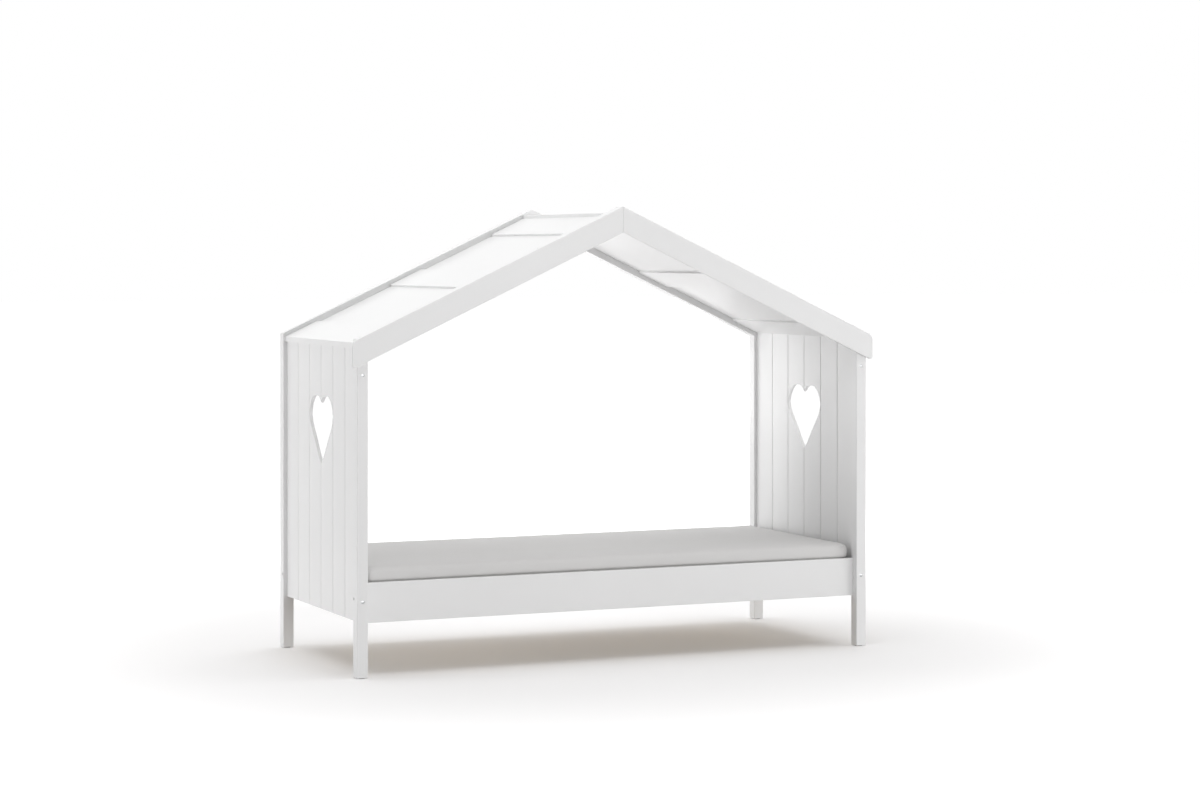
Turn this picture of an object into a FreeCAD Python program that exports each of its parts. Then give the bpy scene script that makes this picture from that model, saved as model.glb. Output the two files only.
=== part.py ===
import FreeCAD, Part
import math
import os

# House frame bed: four posts, two grooved end panels with heart cut-outs, a slatted base with its
# mattress, and a pitched roof of rails and thin infill sheets between two gables.
#
# Millimetres. +X along the bed, +Y to the back, +Z up. The origin is on the floor, under the middle
# of the whole object's box.

V = FreeCAD.Vector

# ---------------------------------------------------------------- driving dimensions
LENGTH = 2100.0            # over the posts, along X
WIDTH = 998.0              # over the posts, along Y
POST_X, POST_Y = 42.0, 47.0
GLIDE_T, GLIDE_R = 3.0, 15.0
EASE = 2.0                 # radius of the eased arrises

FASCIA_T = 15.0            # gable board on the front
FASCIA_H = 90.0            # measured square to the slope
FASCIA_END = 1073.0        # half span of the gable boards
FASCIA_TOP_R, FASCIA_LOW_R = 30.0, 9.0
FASCIA_BREAK = 1.5         # chamfer round the front face

ROOF_SLOPE = 0.47          # rise over run, 25.2 degrees
CAP_Z = 1739.0             # top of the gables at the middle of the bed
CAP_T = 16.0
CAP_EASE = 1.5
ROOF_T = 18.0              # roof rails, square to the slope
BEARER_T = 18.0            # the part of a bearer under the roof rails
INFILL_T = 3.0
TONGUE = 8.0               # an infill sheet's edge in its groove
TENON = 20.0               # a roof rail's end in its bearer
ROOF_GAP_W, ROOF_GAP_D = 3.0, 5.0       # shadow gap between the roof frame and a gable
RAIL_W = 144.0             # eave and mid rails
INFILL_W = 332.0           # sight width of an infill sheet
EAVE_X = 1042.0            # plumb outer edge of the eave rails
RIDGE_HALF = 40.0          # ridge beam, half width
RIDGE_TOP, RIDGE_T = 1715.5, 34.0
RIDGE_TENON_HALF, RIDGE_TENON_T = 18.0, 14.0

PANEL_T = 13.0
PANEL_INSET = 15.5         # panel's outer face behind the posts' outer faces
PANEL_BOTTOM = 204.0
HOUSING = 4.0              # panel's edge in the post
BOARD_W = 151.0            # pitch of the V-grooves
GROOVE_W, GROOVE_D = 8.0, 4.0

RAIL_T, RAIL_BOTTOM, RAIL_TOP = 16.0, 200.0, 348.0
LEDGE_W, LEDGE_H, LEDGE_PAST = 25.0, 30.0, 5.0      # past: beyond the last slat
SLATS, SLAT_W, SLAT_T, SLAT_TOP, SLAT_EASE = 14, 80.0, 18.0, 270.0, 2.0
SLAT_FIELD = 1990.0        # from the first slat's edge to the last one's
SLAT_PLAY = 2.0            # at each end of a slat
TAPE_W, TAPE_T, TAPE_OFFSET = 30.0, 1.2, 360.0

MATTRESS_L, MATTRESS_W, MATTRESS_H = 2000.0, 900.0, 140.0
MATTRESS_GAP = 0.3         # over the slats
MATTRESS_CORNER = 32.0
MATTRESS_WAIST = 5.0       # how far the sides draw in between the corners
# Outlines up the mattress as (drawn in from the widest, height): soft edges and a level top. It is
# held in between the side rails and swells out just over them.
MATTRESS_LOW = ((16.0, 0.0), (9.0, 5.0), (6.0, 16.0), (6.0, 76.0), (1.5, 83.0), (0.0, 93.0))
MATTRESS_HIGH = ((0.0, -34.0), (2.4, -19.0), (8.5, -9.0), (17.0, -3.7), (28.0, -1.1), (43.0, -0.2),
                 (60.0, 0.0))          # heights from the top

# Half the heart's outline, from the notch to the tip's rounding, as (across, up) from the middle of
# the panel, each with the outline's direction there
HEART_HALF = (((0.0, 990.0), (0.55, 0.83)), ((79.0, 1016.0), (1.0, 0.0)),
              ((148.0, 944.0), (0.0, -1.0)), ((74.0, 838.0), (-0.64, -0.77)),
              ((6.3, 760.7), (-0.72, -0.69)))
HEART_TIP = (0.0, 758.0)

HEAD_SIDES, BORE_SIDES, GLIDE_SIDES = 12, 6, 16
SCREW_R, HEAD_R, HEAD_T, SINK = 3.0, 6.0, 4.0, 1.5
HEAD_BORE_R = 6.5
PANEL_SCREW_L = 90.0
PANEL_SCREW_Z = (281.0, 1113.0)
BOLT_Z, BOLT_L = 291.0, 92.0
BOLT_IN = 9.0              # bolts and dowels, from the side rail's inner face
NUT_R, NUT_L, NUT_X = 5.0, 14.0, 966.0
DOWEL_R, DOWEL_IN_POST, DOWEL_IN_RAIL = 4.0, 12.0, 24.0
DOWEL_Z = (240.0, 322.0)
SMALL_R, SMALL_HEAD_R, SMALL_HEAD_T = 2.0, 4.0, 2.5
CAP_SCREW_X = (337.0, 815.0, 1034.0)
CAP_SCREW_L = 48.0
CAP_SCREW_INSET = 17.5     # from the gable's outer face
FASCIA_SCREW_X = (180.0, 580.0, 980.0)
FASCIA_SCREW_L = 57.0
LEDGE_SCREWS = 5
LEDGE_SCREW_L = 36.0

# ---------------------------------------------------------------- worked out
ANGLE = math.atan(ROOF_SLOPE)
COS, SIN = math.cos(ANGLE), math.sin(ANGLE)
HALF = LENGTH / 2
Y_SHIFT = FASCIA_T / 2                       # the fascia moves the middle of the box forward
Y_FRONT = -WIDTH / 2 + Y_SHIFT               # posts' front faces
Y_BACK = WIDTH / 2 + Y_SHIFT
Y_IN_FRONT = Y_FRONT + POST_Y                # inner faces of posts and gables
Y_IN_BACK = Y_BACK - POST_Y
Y_MID = (Y_FRONT + Y_BACK) / 2
X_IN = HALF - POST_X                         # inner faces of the posts
ROOF_Z = CAP_Z - CAP_T / COS                 # roof rails' top surface, carried to x = 0
PANEL_OUT = HALF - PANEL_INSET
PANEL_IN = PANEL_OUT - PANEL_T
BEARER_LOW = -ROOF_T - BEARER_T              # normal offset of a bearer's lower face
INFILL_TOP = -(ROOF_T - INFILL_T) / 2        # normal offset of an infill sheet's top

S_EAVE = EAVE_X / COS - RAIL_W               # distances down the slope from the ridge
S_MID_LOW = S_EAVE - INFILL_W
S_MID_HIGH = S_MID_LOW - RAIL_W
S_RIDGE = S_MID_HIGH - INFILL_W


# ---------------------------------------------------------------- helpers
def box(x0, x1, y0, y1, z0, z1):
    """A block between two corners."""
    return Part.makeBox(x1 - x0, y1 - y0, z1 - z0, V(x0, y0, z0))


def prism_xz(points, y0, y1):
    """A profile in the XZ plane, drawn out from y0 to y1."""
    wire = Part.makePolygon([V(x, y0, z) for x, z in points + points[:1]])
    return Part.Face(wire).extrude(V(0, y1 - y0, 0))


def rod(start, direction, radius, length, sides=BORE_SIDES):
    """A round bar. It has few flats, because bars and their bores repeat all over the bed."""
    across = V(direction.y, direction.z, direction.x).cross(direction)
    across.normalize()
    turn = FreeCAD.Rotation(direction, 360.0 / sides)
    corners = [across * radius]
    for _ in range(sides - 1):
        corners.append(turn.multVec(corners[-1]))
    corners = [start + corner for corner in corners]
    return Part.Face(Part.makePolygon(corners + corners[:1])).extrude(direction * length)


def mirror_x(shape):
    """The same piece on the other side of the bed's middle."""
    return shape.mirror(V(0, 0, 0), V(1, 0, 0))


def mirror_y(shape):
    """The same piece at the back."""
    return shape.mirror(V(0, Y_MID, 0), V(0, 1, 0))


def edges_along(shape, direction, test=lambda edge: True):
    """Straight edges that run along a direction."""
    found = []
    for edge in shape.Edges:
        if not isinstance(edge.Curve, Part.Line):
            continue
        way = edge.tangentAt(edge.FirstParameter)
        if abs(abs(way.dot(direction)) - 1) < 1e-6 and test(edge):
            found.append(edge)
    return found


def ease(shape, direction, radius=EASE, test=lambda edge: True):
    """Rounds the arrises that run along a direction."""
    return shape.makeFillet(radius, edges_along(shape, direction, test))


def down_slope(s, n):
    """A point on the right slope: s down the slope from the ridge, n square to it."""
    return (s * COS + n * SIN, ROOF_Z - s * SIN + n * COS)


def at_x(x, n):
    """A point on the right slope above a given x, on the plane n above the roof's surface."""
    return (x, ROOF_Z + n / COS - ROOF_SLOPE * x)


def all_cut(shape, tools):
    """The shape less every tool in a list."""
    return shape.cut(tools) if tools else shape


def headed_screw(point, direction, length, radius, head_r, head_t):
    """A screw from its head's outer face, along its direction."""
    head = rod(point, direction, head_r, head_t, HEAD_SIDES)
    shank = rod(point + direction * head_t, direction, radius, length - head_t)
    return head.fuse(shank)


# ---------------------------------------------------------------- fasteners
def panel_screws():
    """Screws through the posts into the edges of the end panels, heads just below the surface."""
    made = []
    for side in (-1, 1):
        x = side * (PANEL_OUT + PANEL_IN) / 2
        for z in PANEL_SCREW_Z:
            for face, way in ((Y_FRONT, 1), (Y_BACK, -1)):
                start = V(x, face + way * SINK, z)
                made.append(headed_screw(start, V(0, way, 0), PANEL_SCREW_L, SCREW_R, HEAD_R, HEAD_T))
    return made


def rail_y(back):
    """Line of the bolts and dowels in a side rail's end."""
    return Y_IN_BACK + BOLT_IN if back else Y_IN_FRONT - BOLT_IN


def rail_bolts():
    """Bolts through the posts into the ends of the side rails."""
    made = []
    for back in (False, True):
        for side in (-1, 1):
            start = V(side * (HALF - SINK), rail_y(back), BOLT_Z)
            made.append(headed_screw(start, V(-side, 0, 0), BOLT_L, SCREW_R, HEAD_R, HEAD_T))
    return made


def barrel_nuts(bolts):
    """Cross-drilled nuts that the rail bolts draw up on."""
    made = []
    for back in (False, True):
        inner = Y_IN_BACK if back else Y_IN_FRONT
        way = 1 if back else -1
        for side in (-1, 1):
            nut = rod(V(side * NUT_X, inner, BOLT_Z), V(0, way, 0), NUT_R, NUT_L)
            made.append(all_cut(nut, bolts))
    return made


def post_bores(fasteners):
    """What is cut from the posts: the fasteners, and a counterbore down to each head's underside."""
    made = []
    for side in (-1, 1):
        for back in (False, True):
            start = V(side * HALF, rail_y(back), BOLT_Z)
            made.append(rod(start, V(-side, 0, 0), HEAD_BORE_R, SINK + HEAD_T, HEAD_SIDES))
        x = side * (PANEL_OUT + PANEL_IN) / 2
        for z in PANEL_SCREW_Z:
            for face, way in ((Y_FRONT, 1), (Y_BACK, -1)):
                made.append(rod(V(x, face, z), V(0, way, 0), HEAD_BORE_R, SINK + HEAD_T,
                                HEAD_SIDES))
    return made + fasteners


def rail_dowels():
    """Two dowels beside each rail bolt."""
    made = []
    for back in (False, True):
        for side in (-1, 1):
            for z in DOWEL_Z:
                start = V(side * (X_IN + DOWEL_IN_POST), rail_y(back), z)
                made.append(rod(start, V(-side, 0, 0), DOWEL_R, DOWEL_IN_POST + DOWEL_IN_RAIL))
    return made


def cap_screws():
    """Screws down through the caps, square to the slope. The lowest pair reaches the posts."""
    made = []
    down = V(-SIN, 0, -COS)
    for x in CAP_SCREW_X:
        top_x, top_z = at_x(x, CAP_T)
        start = V(top_x, Y_FRONT + CAP_SCREW_INSET, top_z)
        right = headed_screw(start, down, CAP_SCREW_L, SMALL_R, SMALL_HEAD_R, SMALL_HEAD_T)
        for one in (right, mirror_x(right)):
            made += [one, mirror_y(one)]
    return made


def fascia_screws():
    """Screws from the back of the front bearers into the gable boards."""
    made = []
    for x in FASCIA_SCREW_X:
        _, z = at_x(x, (BEARER_LOW - ROOF_T) / 2)
        start = V(x, Y_IN_FRONT, z)
        right = headed_screw(start, V(0, -1, 0), FASCIA_SCREW_L, SMALL_R, SMALL_HEAD_R, SMALL_HEAD_T)
        made += [right, mirror_x(right)]
    return made


def ledge_screws():
    """Screws from the inside through the ledges into the side rails."""
    made = []
    z = SLAT_TOP - SLAT_T - LEDGE_H / 2
    pitch = SLAT_FIELD / LEDGE_SCREWS
    for i in range(LEDGE_SCREWS):
        x = (i - (LEDGE_SCREWS - 1) / 2) * pitch
        start = V(x, Y_IN_FRONT + LEDGE_W, z)
        front = headed_screw(start, V(0, -1, 0), LEDGE_SCREW_L, SMALL_R, SMALL_HEAD_R, SMALL_HEAD_T)
        made += [front, mirror_y(front)]
    return made


def foot_glides():
    """Nail-on plastic glides under the posts."""
    made = []
    for side in (-1, 1):
        for y in (Y_FRONT + POST_Y / 2, Y_BACK - POST_Y / 2):
            made.append(rod(V(side * (HALF - POST_X / 2), y, 0), V(0, 0, 1), GLIDE_R, GLIDE_T,
                            GLIDE_SIDES))
    return made


# ---------------------------------------------------------------- roof
def roof_rails():
    """Eave, mid and ridge rails of the right slope, with infill grooves and shadow gaps."""
    y0, y1 = Y_IN_FRONT - TENON, Y_IN_BACK + TENON
    eave = prism_xz([down_slope(S_EAVE, 0), at_x(EAVE_X, 0), at_x(EAVE_X, -ROOF_T),
                     down_slope(S_EAVE, -ROOF_T)], y0, y1)
    mid = prism_xz([down_slope(S_MID_HIGH, 0), down_slope(S_MID_LOW, 0),
                    down_slope(S_MID_LOW, -ROOF_T), down_slope(S_MID_HIGH, -ROOF_T)], y0, y1)
    ridge = prism_xz([at_x(RIDGE_HALF, 0), down_slope(S_RIDGE, 0), down_slope(S_RIDGE, -ROOF_T),
                      at_x(RIDGE_HALF, -ROOF_T)], y0, y1)
    tools = list(roof_infills().values())
    for y in (Y_IN_FRONT, Y_IN_BACK - ROOF_GAP_W):
        tools.append(prism_xz([at_x(0, 1), at_x(FASCIA_END, 1), at_x(FASCIA_END, -ROOF_GAP_D),
                               at_x(0, -ROOF_GAP_D)], y, y + ROOF_GAP_W))
    return {"eave": all_cut(eave, tools), "mid": all_cut(mid, tools),
            "ridge": all_cut(ridge, tools)}


def roof_infills():
    """The two thin sheets of the right slope, with their edges in the rails and the bearers."""
    y0, y1 = Y_IN_FRONT - TONGUE, Y_IN_BACK + TONGUE
    made = {}
    for name, high, low in (("lower", S_MID_LOW, S_EAVE), ("upper", S_RIDGE, S_MID_HIGH)):
        corners = [(high - TONGUE, INFILL_TOP), (low + TONGUE, INFILL_TOP),
                   (low + TONGUE, INFILL_TOP - INFILL_T), (high - TONGUE, INFILL_TOP - INFILL_T)]
        made[name] = prism_xz([down_slope(s, n) for s, n in corners], y0, y1)
    return made


def ridge_beam():
    """A flat beam between the gables, with a stub tenon in the mitre of each."""
    body = box(-RIDGE_HALF, RIDGE_HALF, Y_IN_FRONT, Y_IN_BACK, RIDGE_TOP - RIDGE_T, RIDGE_TOP)
    middle = RIDGE_TOP - RIDGE_T / 2
    tenon = box(-RIDGE_TENON_HALF, RIDGE_TENON_HALF, Y_IN_FRONT - TENON, Y_IN_BACK + TENON,
                middle - RIDGE_TENON_T / 2, middle + RIDGE_TENON_T / 2)
    body = ease(body, V(0, 1, 0), EASE, lambda edge: edge.CenterOfMass.z > middle)
    return body.fuse(tenon)


def gable_strip(low, high):
    """Front right strip of a gable between two planes, mitred at the ridge, plumb at the post."""
    return prism_xz([at_x(0, high), at_x(HALF, high), at_x(HALF, low), at_x(0, low)],
                    Y_FRONT, Y_IN_FRONT)


def fascia():
    """Right gable board: mitred at the ridge, its outer end rounded."""
    high = CAP_T
    low = CAP_T - FASCIA_H
    board = prism_xz([at_x(0, high), at_x(FASCIA_END, high), at_x(FASCIA_END, low), at_x(0, low)],
                     Y_FRONT - FASCIA_T, Y_FRONT)
    end_z = at_x(FASCIA_END, (high + low) / 2)[1]
    for radius, way in ((FASCIA_TOP_R, 1), (FASCIA_LOW_R, -1)):
        board = ease(board, V(0, 1, 0), radius,
                     lambda edge: edge.CenterOfMass.x > FASCIA_END - 1
                     and way * (edge.CenterOfMass.z - end_z) > 0)
    front = [edge for edge in board.Edges
             if all(abs(v.Point.y - (Y_FRONT - FASCIA_T)) < 1e-6 for v in edge.Vertexes)]
    return board.makeChamfer(FASCIA_BREAK, front)


# ---------------------------------------------------------------- end panels
def heart_wire():
    """The heart in the YZ plane: each half is a lobe and a flank that hollows towards the tip."""
    edges = []
    for side in (-1, 1):
        half = Part.BSplineCurve()
        half.interpolate(Points=[V(0, side * y, z) for (y, z), _ in HEART_HALF],
                         Tangents=[V(0, side * y, z) for _, (y, z) in HEART_HALF],
                         TangentFlags=[True] * len(HEART_HALF))
        edges.append(half.toShape())
    tip_y, tip_z = HEART_HALF[-1][0]
    tip = [V(0, y, z) for y, z in ((-tip_y, tip_z), HEART_TIP, (tip_y, tip_z))]
    edges.append(Part.Arc(*tip).toShape())
    wire = Part.Wire(Part.__sortEdges__(edges))
    wire.translate(V(0, Y_MID, 0))
    return wire


def end_panel(screws):
    """Right end panel: bevelled under the eave rail, housed in the posts, grooved on both faces."""
    def profile(top_n):
        return [(PANEL_IN, PANEL_BOTTOM), (PANEL_OUT, PANEL_BOTTOM), at_x(PANEL_OUT, top_n),
                at_x(PANEL_IN, top_n)]
    panel = prism_xz(profile(-ROOF_T), Y_IN_FRONT, Y_IN_BACK)
    tongues = prism_xz(profile(BEARER_LOW), Y_IN_FRONT - HOUSING, Y_IN_BACK + HOUSING)
    panel = panel.fuse(tongues).removeSplitter()
    tools = []
    for i in range(-2, 3):
        y = Y_MID + i * BOARD_W
        for face, way in ((PANEL_OUT, -1), (PANEL_IN, 1)):
            corners = [V(face, y - GROOVE_W / 2, PANEL_BOTTOM),
                       V(face + way * GROOVE_D, y, PANEL_BOTTOM),
                       V(face, y + GROOVE_W / 2, PANEL_BOTTOM)]
            groove = Part.Face(Part.makePolygon(corners + corners[:1]))
            tools.append(groove.extrude(V(0, 0, CAP_Z - PANEL_BOTTOM)))
    heart = Part.Face(heart_wire()).extrude(V(4 * PANEL_T, 0, 0))
    heart.translate(V(PANEL_IN - PANEL_T, 0, 0))
    return all_cut(panel, tools + [heart] + screws)


# ---------------------------------------------------------------- base
def post(tools):
    """Front right post: eased long edges, top cut to the slope of the bearer on it."""
    shape = prism_xz([(X_IN, GLIDE_T), (HALF, GLIDE_T), at_x(HALF, BEARER_LOW),
                      at_x(X_IN, BEARER_LOW)], Y_FRONT, Y_IN_FRONT)
    shape = ease(shape, V(0, 0, 1))
    groove = box(PANEL_IN, PANEL_OUT, Y_IN_FRONT - HOUSING, Y_IN_FRONT, PANEL_BOTTOM, CAP_Z)
    return all_cut(shape, [groove] + tools)


def side_rail(tools):
    """Front side rail, flush with the posts' inner faces."""
    shape = box(-X_IN, X_IN, Y_IN_FRONT - RAIL_T, Y_IN_FRONT, RAIL_BOTTOM, RAIL_TOP)
    return all_cut(ease(shape, V(1, 0, 0)), tools)


def slat_ledge(tools):
    """Batten under the slats' front ends."""
    top = SLAT_TOP - SLAT_T
    half = SLAT_FIELD / 2 + LEDGE_PAST
    shape = box(-half, half, Y_IN_FRONT, Y_IN_FRONT + LEDGE_W, top - LEDGE_H, top)
    return all_cut(shape, tools)


def slat(i):
    """One slat, its long arrises taken off."""
    pitch = (SLAT_FIELD - SLAT_W) / (SLATS - 1)
    x = -SLAT_FIELD / 2 + i * pitch
    shape = box(x, x + SLAT_W, Y_IN_FRONT + SLAT_PLAY, Y_IN_BACK - SLAT_PLAY, SLAT_TOP - SLAT_T,
                SLAT_TOP)
    return shape.makeChamfer(SLAT_EASE, edges_along(shape, V(0, 1, 0)))


def slat_tape(y):
    """Webbing tape stapled under the slats."""
    low = SLAT_TOP - SLAT_T
    return box(-SLAT_FIELD / 2, SLAT_FIELD / 2, y - TAPE_W / 2, y + TAPE_W / 2, low - TAPE_T, low)


def mattress_ring(inset, z):
    """Plan outline of the mattress at one height: drawn-in sides between round corners."""
    hx, hy = MATTRESS_L / 2 - inset, MATTRESS_W / 2 - inset
    r = MATTRESS_CORNER
    k = r * (1 - math.sqrt(0.5))
    edges = []
    stations = [((hx, -hy + r), (hx - MATTRESS_WAIST / 2, 0), (hx, hy - r)),
                ((hx, hy - r), (hx - k, hy - k), (hx - r, hy)),
                ((hx - r, hy), (0, hy - MATTRESS_WAIST), (-hx + r, hy)),
                ((-hx + r, hy), (-hx + k, hy - k), (-hx, hy - r)),
                ((-hx, hy - r), (-hx + MATTRESS_WAIST / 2, 0), (-hx, -hy + r)),
                ((-hx, -hy + r), (-hx + k, -hy + k), (-hx + r, -hy)),
                ((-hx + r, -hy), (0, -hy + MATTRESS_WAIST), (hx - r, -hy)),
                ((hx - r, -hy), (hx - k, -hy + k), (hx, -hy + r))]
    for a, b, c in stations:
        edges.append(Part.Arc(*[V(x, Y_MID + y, z) for x, y in (a, b, c)]).toShape())
    return Part.Wire(edges)


def mattress():
    """Foam mattress: flat where it lies, soft edges, level on top."""
    low = SLAT_TOP + MATTRESS_GAP
    rings = [(inset, low + z) for inset, z in MATTRESS_LOW]
    rings += [(inset, low + MATTRESS_H + z) for inset, z in MATTRESS_HIGH]
    return Part.makeLoft([mattress_ring(*ring) for ring in rings], True, True)


# ---------------------------------------------------------------- build
def build():
    """All nodes by name."""
    nodes = {}
    screws = panel_screws()
    bolts = rail_bolts()
    nuts = barrel_nuts(bolts)
    dowels = rail_dowels()
    caps = cap_screws()
    boards = fascia_screws()
    ledges = ledge_screws()
    glides = foot_glides()

    rails = roof_rails()
    infills = roof_infills()
    beam = ridge_beam()
    bearer = gable_strip(BEARER_LOW, 0)
    cap = ease(gable_strip(0, CAP_T), V(COS, 0, -SIN), CAP_EASE,
               lambda edge: edge.CenterOfMass.z > at_x(HALF / 2, CAP_T / 2)[1])
    bearer = all_cut(bearer, list(rails.values()) + list(infills.values()) + [beam])
    corners = {"front_right": lambda s: s, "front_left": mirror_x, "rear_right": mirror_y,
               "rear_left": lambda s: mirror_x(mirror_y(s))}
    bores = post_bores(screws + bolts + dowels + caps)
    one_post = post([])
    for corner, place in corners.items():
        nodes["post_" + corner] = all_cut(place(one_post), bores)
        nodes["gable_bearer_" + corner] = all_cut(place(bearer), caps + boards)
        nodes["gable_cap_" + corner] = all_cut(place(cap), caps)

    one_fascia = fascia()
    panel = end_panel([])
    rail = side_rail([])
    ledge = slat_ledge([])
    for side, place in (("right", lambda s: s), ("left", mirror_x)):
        nodes["fascia_" + side] = all_cut(place(one_fascia), boards)
        nodes["end_panel_" + side] = all_cut(place(panel), screws)
        for name, shape in rails.items():
            nodes["roof_rail_" + name + "_" + side] = place(shape)
        for name, shape in infills.items():
            nodes["roof_infill_" + name + "_" + side] = place(shape)
    for end, place in (("front", lambda s: s), ("rear", mirror_y)):
        nodes["side_rail_" + end] = all_cut(place(rail), bolts + nuts + dowels + ledges)
        nodes["slat_ledge_" + end] = all_cut(place(ledge), ledges)
    nodes["ridge_beam"] = beam
    for i in range(SLATS):
        nodes["slat_%02d" % (i + 1)] = slat(i)
    nodes["slat_tape_front"] = slat_tape(Y_MID - TAPE_OFFSET)
    nodes["slat_tape_rear"] = slat_tape(Y_MID + TAPE_OFFSET)
    nodes["mattress"] = mattress()

    groups = {"panel_screws": screws, "rail_bolts": bolts, "barrel_nuts": nuts,
              "rail_dowels": dowels, "cap_screws": caps, "fascia_screws": boards,
              "ledge_screws": ledges, "foot_glides": glides}
    for name, solids in groups.items():
        nodes[name] = Part.makeCompound(solids)
    return nodes


os.makedirs("parts", exist_ok=True)
for node, shape in build().items():
    shape.exportStep("parts/" + node + ".step")
    print(node, len(shape.Solids), "solid(s), valid", shape.isValid(), "volume %.0f" % shape.Volume)
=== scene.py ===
# %% [markdown]
# # House frame bed
#
# A child's bed with four posts, two grooved end panels with a heart cut out of each, a slatted
# base and a pitched roof of rails and thin sheets. The rigid parts arrive finished from the CAD
# model, in metres, and stay as they are. This script gives them their materials, makes the
# mattress, its fitted sheet and the screws, and sets the camera and the light.

# %% Load the frame
import math

import bpy
import numpy as np
from mathutils import Matrix, Vector


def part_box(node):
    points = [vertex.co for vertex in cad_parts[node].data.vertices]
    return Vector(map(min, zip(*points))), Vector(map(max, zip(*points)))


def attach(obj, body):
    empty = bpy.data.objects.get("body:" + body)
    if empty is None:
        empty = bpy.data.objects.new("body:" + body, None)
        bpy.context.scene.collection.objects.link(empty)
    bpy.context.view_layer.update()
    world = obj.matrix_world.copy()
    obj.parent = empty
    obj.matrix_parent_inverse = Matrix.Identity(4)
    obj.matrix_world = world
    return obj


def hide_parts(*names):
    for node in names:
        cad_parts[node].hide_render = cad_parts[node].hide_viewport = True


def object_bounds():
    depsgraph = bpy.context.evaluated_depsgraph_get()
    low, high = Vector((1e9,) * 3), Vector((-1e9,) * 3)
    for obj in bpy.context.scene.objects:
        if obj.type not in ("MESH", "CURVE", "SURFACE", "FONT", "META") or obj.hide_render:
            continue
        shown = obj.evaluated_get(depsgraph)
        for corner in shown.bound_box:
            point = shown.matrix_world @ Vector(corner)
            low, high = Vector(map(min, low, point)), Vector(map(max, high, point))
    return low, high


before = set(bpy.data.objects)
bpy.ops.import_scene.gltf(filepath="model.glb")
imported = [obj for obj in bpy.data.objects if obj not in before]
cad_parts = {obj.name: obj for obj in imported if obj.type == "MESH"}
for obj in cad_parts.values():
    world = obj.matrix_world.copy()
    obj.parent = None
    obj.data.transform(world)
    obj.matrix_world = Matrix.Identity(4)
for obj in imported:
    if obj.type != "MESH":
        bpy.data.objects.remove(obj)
cad_low, cad_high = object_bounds()
print("CAD box", [round(v, 4) for v in (*cad_low, *cad_high)])

# %% [markdown]
# ## Camera
#
# The photograph was taken from a long way off with a long lens. A camera is fitted to straight
# edges of known direction: posts give the vertical, rails the length and the gables the slope.
# Upright edges stay parallel in the picture, so the camera is level, and the middle of the lens
# lies higher than the middle of the picture, which becomes a lens shift. From left to right the
# edges don't say where the middle of the lens is: each place fits them equally well, with its own
# width of bed. The one used here is chosen, so that the bed takes a mattress 0.9 m wide.

# %% Camera
PHOTO_W, PHOTO_H = 1200, 800
FOCAL_PX = 2948.7         # focal length in pixels of the photograph
CENTRE_PX = (791.0, 250.9)      # the middle of the lens: across chosen, down fitted
SENSOR_MM = 36.0
STAND = (-4.3555, -10.8973, 1.5697)
TURN = 25.995             # degrees, to the right of straight on

camera_data = bpy.data.cameras.new("camera")
camera_data.sensor_fit = "HORIZONTAL"
camera_data.sensor_width = SENSOR_MM
camera_data.lens = SENSOR_MM * FOCAL_PX / PHOTO_W
camera_data.shift_x = (PHOTO_W / 2 - CENTRE_PX[0]) / PHOTO_W
camera_data.shift_y = (CENTRE_PX[1] - PHOTO_H / 2) / PHOTO_W
camera_data.clip_end = 200.0
camera = bpy.data.objects.new("camera", camera_data)
camera.location = STAND
camera.rotation_euler = (math.radians(90), 0, -math.radians(TURN))
bpy.context.collection.objects.link(camera)
bpy.context.scene.camera = camera
print("lens %.1f mm, shift %.3f, %.3f" % (camera_data.lens, camera_data.shift_x,
                                          camera_data.shift_y))

# %% [markdown]
# ## Helpers
#
# Colours are picked as sRGB hex values, as a paint chart gives them, but a shader works in linear
# light, so one function turns them over. A second adds a node, with its settings and its links,
# which keeps a node tree readable in text. The rest select things, because every operator acts on
# whatever is selected, and round off the edges that they find.

# %% Helpers
def linear(hex_colour):
    """An sRGB hex colour as linear RGBA."""
    values = [int(hex_colour[i:i + 2], 16) / 255 for i in (1, 3, 5)]
    return (*[v / 12.92 if v <= 0.04045 else ((v + 0.055) / 1.055) ** 2.4 for v in values], 1.0)


MIX_A, MIX_B = 6, 7       # the colour sockets of a Mix node, which share names with others


def add(tree, kind, settings=None, inputs=None):
    """Adds a node. An input that is a socket is linked, and anything else is set."""
    node = tree.nodes.new(kind)
    for name, value in (settings or {}).items():
        setattr(node, name, value)
    for name, value in (inputs or {}).items():
        if isinstance(value, bpy.types.NodeSocket):
            tree.links.new(value, node.inputs[name])
        else:
            node.inputs[name].default_value = value
    return node


def empty_material(name):
    """A material with nothing in it but its output."""
    material = bpy.data.materials.new(name)
    material.use_nodes = True
    material.node_tree.nodes.clear()
    add(material.node_tree, "ShaderNodeOutputMaterial")
    return material, material.node_tree


def finish_material(tree, shader):
    """Links a shader to the output."""
    output = next(n for n in tree.nodes if n.type == "OUTPUT_MATERIAL")
    tree.links.new(shader.outputs[0], output.inputs["Surface"])


def only(obj):
    """Makes one object the selected and active one."""
    bpy.ops.object.select_all(action="DESELECT")
    obj.select_set(True)
    bpy.context.view_layer.objects.active = obj


def clear_selection(kind):
    """Deselects all of the active mesh and sets what is selected next, EDGE or FACE."""
    bpy.ops.object.mode_set(mode="EDIT")
    bpy.ops.mesh.select_mode(type=kind)
    bpy.ops.mesh.select_all(action="DESELECT")
    bpy.ops.object.mode_set(mode="OBJECT")


def select_faces(obj, test):
    """Selects in edit mode the faces that pass a test."""
    clear_selection("FACE")
    for face in obj.data.polygons:
        face.select = test(face)
    bpy.ops.object.mode_set(mode="EDIT")


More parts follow.
